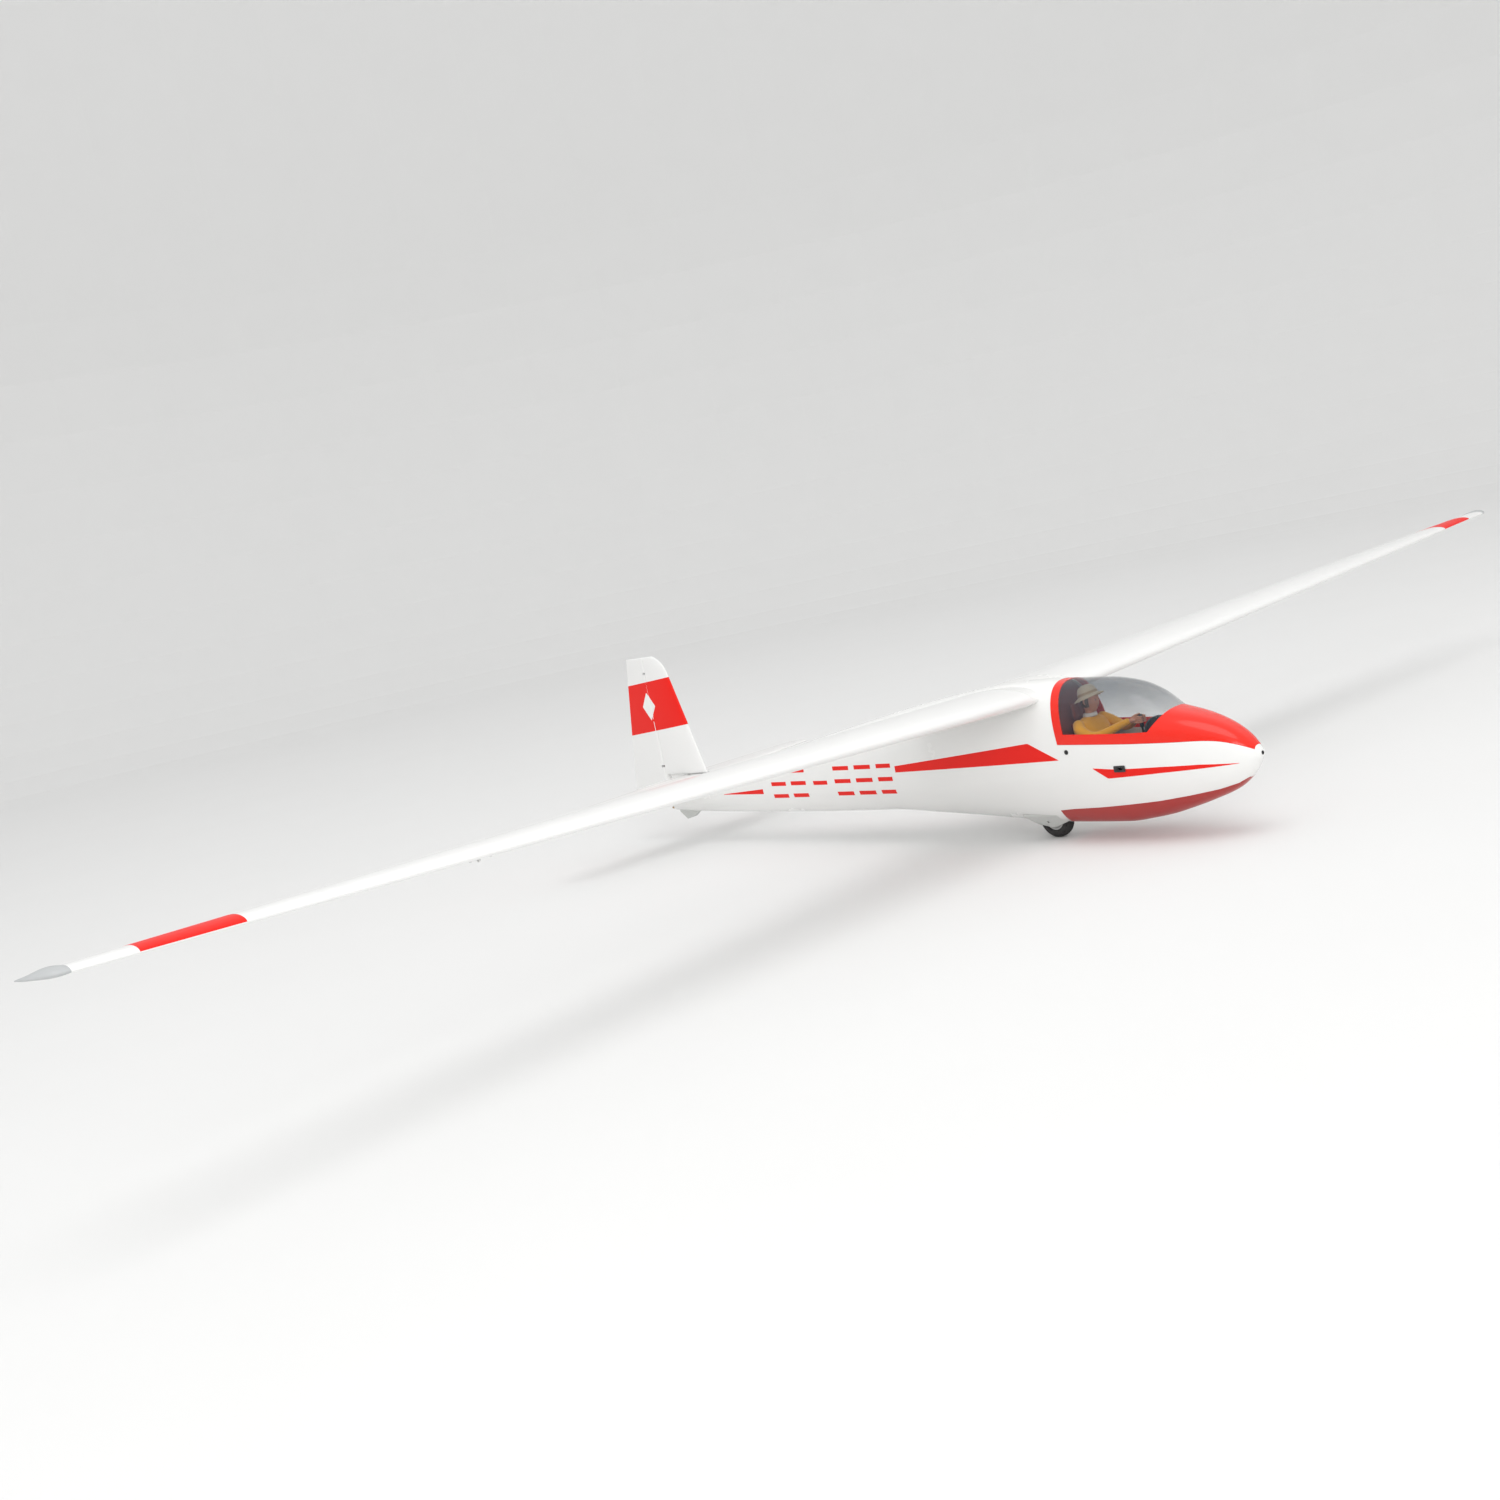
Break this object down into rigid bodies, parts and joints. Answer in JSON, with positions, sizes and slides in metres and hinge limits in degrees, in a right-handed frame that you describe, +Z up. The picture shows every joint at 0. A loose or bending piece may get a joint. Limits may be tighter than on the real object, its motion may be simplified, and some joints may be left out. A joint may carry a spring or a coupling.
{
  "type": "rc glider",
  "caption": "Radio-controlled scale sailplane: hollow fuselage, lift-off hood with cockpit and pilot figure, plug-in tapered wings, hinged control surfaces with pushrods, wheel.",
  "frame": {"origin": "centre of the plan view, at the bottom of the wheel", "axes": "+X towards the nose, +Y towards the left wing tip, +Z up, fuselage datum level"},
  "size_m": [1.383, 3, 0.361],
  "materials": {
    "white_shell": "gelcoat gloss, white with red flashes",
    "white_wing": "film gloss, white with a red band near the tip",
    "white_tail": "film gloss, white",
    "white_surface": "film gloss, white",
    "rudder_skin": "film gloss, white with a red band",
    "tip_grey": "satin grey",
    "fairing_grey": "satin grey",
    "spar_steel": "ground rod",
    "sleeve_wood": "birch plywood",
    "wire_steel": "bright wire",
    "tyre_rubber": "matt rubber",
    "hub_plastic": "moulded nylon",
    "brass_tube": "drawn tube",
    "ballast_lead": "dull cast weight",
    "battery_wrap": "shrink wrap",
    "dark_case": "moulded case",
    "cover_plastic": "moulded white",
    "tub_grey": "satin grey",
    "seat_red": "dark red cloth",
    "panel_black": "matt black",
    "knit_yellow": "knitted cloth",
    "figure_skin": "matt painted",
    "hat_cloth": "cotton",
    "button_black": "satin black",
    "hood_red": "gelcoat gloss red",
    "hood_glass": "clear, lightly tinted"
  },
  "bodies": {
    "airframe": {"fuselage": "white_shell", "tail_post": "sleeve_wood", "fin": "white_tail", "stabiliser": "white_tail", "stabiliser_screws": "wire_steel", "wing_right": "white_wing", "wing_left": "white_wing", "wing_tip_right": "tip_grey", "wing_tip_left": "tip_grey", "wing_joiner": "spar_steel", "joiner_sleeves": "sleeve_wood", "root_dowels": "spar_steel", "wheel_fairing": "fairing_grey", "wheel_axle": "wire_steel", "tail_skid": "fairing_grey", "tow_tube": "brass_tube", "nose_ballast": "ballast_lead", "battery": "battery_wrap", "receiver": "dark_case", "servo_tray": "sleeve_wood", "rudder_servo": "dark_case", "elevator_servo": "dark_case", "aileron_servos": "dark_case", "servo_covers": "cover_plastic", "cockpit_tub": "tub_grey", "seat": "seat_red", "instrument_panel": "panel_black", "control_stick": "panel_black", "pilot_body": "knit_yellow", "pilot_head": "figure_skin", "pilot_hat": "hat_cloth", "switch_body": "dark_case", "latch_housing": "dark_case", "aileron_pins": "wire_steel", "rudder_hinges": "wire_steel", "rudder_pin": "wire_steel"},
    "hood": {"hood_frame": "hood_red", "hood_glass": "hood_glass"},
    "latch": {"latch_button": "button_black"},
    "switch": {"switch_slider": "button_black"},
    "wheel": {"tyre": "tyre_rubber", "wheel_hub": "hub_plastic"},
    "aileron_right": {"aileron_right": "white_surface", "aileron_horn_right": "cover_plastic"},
    "aileron_left": {"aileron_left": "white_surface", "aileron_horn_left": "cover_plastic"},
    "elevator": {"elevator": "white_surface", "elevator_wire": "wire_steel", "elevator_horn": "cover_plastic"},
    "rudder": {"rudder": "rudder_skin", "rudder_horn": "cover_plastic"},
    "aileron_arm_right": {"aileron_arm_right": "cover_plastic"},
    "aileron_arm_left": {"aileron_arm_left": "cover_plastic"},
    "elevator_servo_arm": {"elevator_servo_arm": "cover_plastic"},
    "rudder_servo_arm": {"rudder_servo_arm": "cover_plastic"},
    "aileron_rod_right": {"aileron_rod_right": "wire_steel"},
    "aileron_rod_left": {"aileron_rod_left": "wire_steel"},
    "elevator_rod": {"elevator_rod": "wire_steel"},
    "rudder_rod": {"rudder_rod": "wire_steel"}
  },
  "joints": [
    {"name": "hood_lift", "type": "slide", "parent": "airframe", "child": "hood", "axis": [0, 0, 1], "range_m": [0, 0.15]},
    {"name": "latch_press", "type": "slide", "parent": "airframe", "child": "latch", "axis": [0, 1, 0], "range_m": [0, 0.002], "stiffness_N_per_m": 150, "springref_m": -0.001},
    {"name": "switch_slide", "type": "slide", "parent": "airframe", "child": "switch", "axis": [1, 0, 0], "range_m": [0, 0.005]},
    {"name": "wheel_spin", "type": "hinge", "parent": "airframe", "child": "wheel", "pos_m": [0.326, 0, 0.0285], "axis": [0, 1, 0], "continuous": true},
    {"name": "aileron_right_hinge", "type": "hinge", "parent": "airframe", "child": "aileron_right", "pos_m": [0.29695, -1.1, 0.26413], "axis": [-0.1002, 0.9941, -0.0418], "range_deg": [-25, 25]},
    {"name": "aileron_left_hinge", "type": "hinge", "parent": "airframe", "child": "aileron_left", "pos_m": [0.29695, 1.1, 0.26413], "axis": [0.1002, 0.9941, 0.0418], "range_deg": [-25, 25]},
    {"name": "elevator_hinge", "type": "hinge", "parent": "airframe", "child": "elevator", "pos_m": [-0.524, 0, 0.126], "axis": [0, 1, 0], "range_deg": [-20, 20]},
    {"name": "rudder_hinge", "type": "hinge", "parent": "airframe", "child": "rudder", "pos_m": [-0.585, 0, 0.2], "axis": [0, 0, 1], "range_deg": [-30, 30]},
    {"name": "aileron_arm_right_turn", "type": "hinge", "parent": "airframe", "child": "aileron_arm_right", "pos_m": [0.33187, -1, 0.25992], "axis": [-0.1002, 0.9941, -0.0418], "range_deg": [-25, 25]},
    {"name": "aileron_arm_left_turn", "type": "hinge", "parent": "airframe", "child": "aileron_arm_left", "pos_m": [0.33187, 1, 0.25992], "axis": [0.1002, 0.9941, 0.0418], "range_deg": [-25, 25]},
    {"name": "elevator_servo_arm_turn", "type": "hinge", "parent": "airframe", "child": "elevator_servo_arm", "pos_m": [0.12, 0.0066, 0.126], "axis": [0, 1, 0], "range_deg": [-20, 20]},
    {"name": "rudder_servo_arm_turn", "type": "hinge", "parent": "airframe", "child": "rudder_servo_arm", "pos_m": [0.19, 0, 0.0958], "axis": [0, 0, 1], "range_deg": [-30, 30]},
    {"name": "aileron_rod_right_pivot", "type": "hinge", "parent": "aileron_arm_right", "child": "aileron_rod_right", "pos_m": [0.33191, -1.00042, 0.24993], "axis": [-0.1002, 0.9941, -0.0418], "range_deg": [-25, 25]},
    {"name": "aileron_rod_left_pivot", "type": "hinge", "parent": "aileron_arm_left", "child": "aileron_rod_left", "pos_m": [0.33191, 1.00042, 0.24993], "axis": [0.1002, 0.9941, 0.0418], "range_deg": [-25, 25]},
    {"name": "elevator_rod_pivot", "type": "hinge", "parent": "elevator_servo_arm", "child": "elevator_rod", "pos_m": [0.12, 0.0066, 0.112], "axis": [0, 1, 0], "range_deg": [-20, 20]},
    {"name": "rudder_rod_pivot", "type": "hinge", "parent": "rudder_servo_arm", "child": "rudder_rod", "pos_m": [0.19, 0.009, 0.0958], "axis": [0, 0, 1], "range_deg": [-30, 30]}
  ],
  "couplings": [
    {"joint": "aileron_arm_right_turn", "follows": "aileron_right_hinge", "ratio": 1},
    {"joint": "aileron_rod_right_pivot", "follows": "aileron_right_hinge", "ratio": -1},
    {"joint": "aileron_arm_left_turn", "follows": "aileron_left_hinge", "ratio": 1},
    {"joint": "aileron_rod_left_pivot", "follows": "aileron_left_hinge", "ratio": -1},
    {"joint": "elevator_servo_arm_turn", "follows": "elevator_hinge", "ratio": 1},
    {"joint": "elevator_rod_pivot", "follows": "elevator_hinge", "ratio": -1},
    {"joint": "rudder_servo_arm_turn", "follows": "rudder_hinge", "ratio": 1},
    {"joint": "rudder_rod_pivot", "follows": "rudder_hinge", "ratio": -1}
  ]
}
